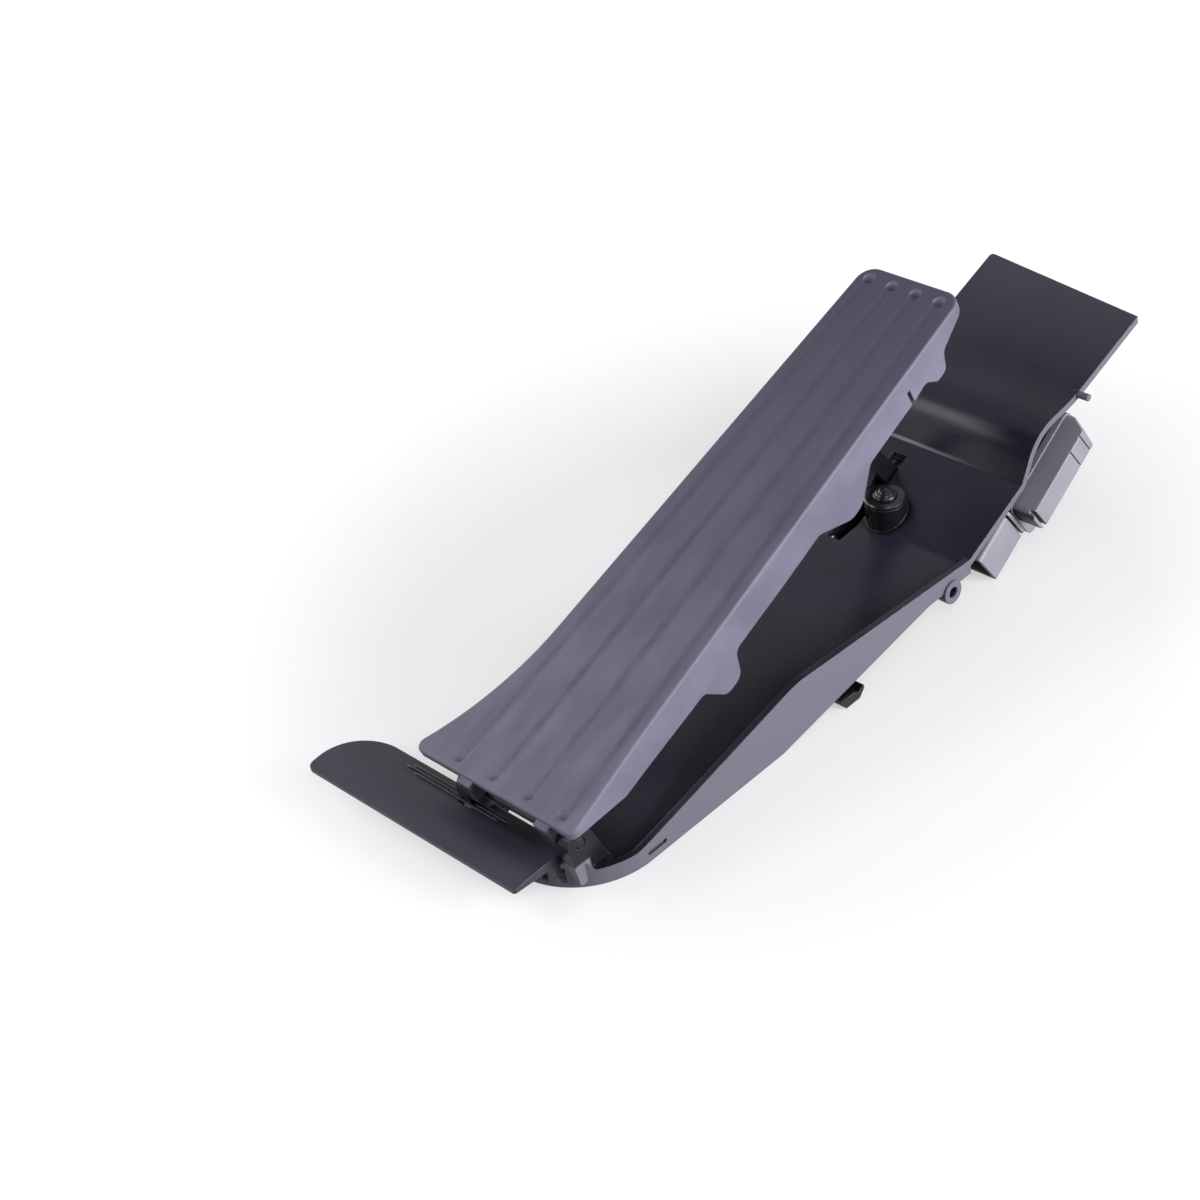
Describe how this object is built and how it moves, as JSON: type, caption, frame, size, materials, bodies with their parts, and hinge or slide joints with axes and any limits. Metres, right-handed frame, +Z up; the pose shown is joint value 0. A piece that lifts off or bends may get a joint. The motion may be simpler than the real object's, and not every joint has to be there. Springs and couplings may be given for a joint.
{
  "type": "accelerator pedal",
  "caption": "Floor-hinged accelerator pedal: a long fluted pedal plate on a heel hinge over a black base tray with a stepped toe plate, a side sensor housing and a kick-down button.",
  "frame": {"origin": "on the flat underside of the heel block, in the middle of the pedal, where the module stands", "axes": "+X to the driver's right, +Y from the heel towards the toe plate, +Z up from the floor"},
  "size_m": [0.125, 0.3133, 0.1077],
  "materials": {
    "pedal_grey": "satin",
    "tray_black": "glossy",
    "lip_black": "satin",
    "housing_black": "fine grain",
    "slide_plastic": "smooth",
    "steel": "turned",
    "spring_steel": "drawn",
    "rubber": "matte",
    "board_green": "lacquered",
    "chip_black": "matte",
    "magnet_grey": "sintered",
    "terminal_brass": "plated"
  },
  "bodies": {
    "base": {"base_tray": "tray_black", "heel_lip": "lip_black", "hinge_pin": "steel", "sensor_housing": "housing_black", "sensor_cover": "housing_black", "cover_gasket": "rubber", "connector_shroud": "housing_black", "terminal_pins": "terminal_brass", "circuit_board": "board_green", "angle_sensor": "chip_black", "housing_screws": "steel", "left_shaft_bush": "slide_plastic", "right_shaft_bush": "slide_plastic", "main_return_spring": "spring_steel", "backup_return_spring": "spring_steel", "rest_stop_pad": "rubber", "left_floor_clip": "tray_black", "right_floor_clip": "tray_black", "kickdown_cup": "housing_black", "kickdown_spring": "spring_steel"},
    "pedal": {"pedal_plate": "pedal_grey", "left_hinge_bush": "slide_plastic", "right_hinge_bush": "slide_plastic", "cam_rail": "slide_plastic"},
    "lever": {"drive_lever": "housing_black", "lever_shaft": "steel", "slide_shoe": "slide_plastic", "rotor_magnet": "magnet_grey"},
    "kickdown": {"kickdown_plunger": "tray_black"}
  },
  "joints": [
    {"name": "pedal_hinge", "type": "hinge", "parent": "base", "child": "pedal", "pos_m": [0, 0.00471, 0.01828], "axis": [1, 0, 0], "range_deg": [-15, 0], "stiffness_Nm_per_rad": 9.5, "springref_deg": 14.9},
    {"name": "lever_pivot", "type": "hinge", "parent": "base", "child": "lever", "pos_m": [-0.0166, 0.23409, 0.02553], "axis": [1, 0, 0], "range_deg": [0, 35.25]},
    {"name": "kickdown_slide", "type": "slide", "parent": "base", "child": "kickdown", "axis": [0, 0, -1], "range_m": [0, 0.0035], "stiffness_N_per_m": 3000, "springref_m": -0.003, "deforming": ["kickdown_spring"]}
  ],
  "couplings": [
    {"joint": "lever_pivot", "follows": "pedal_hinge", "ratio": -2.35}
  ]
}
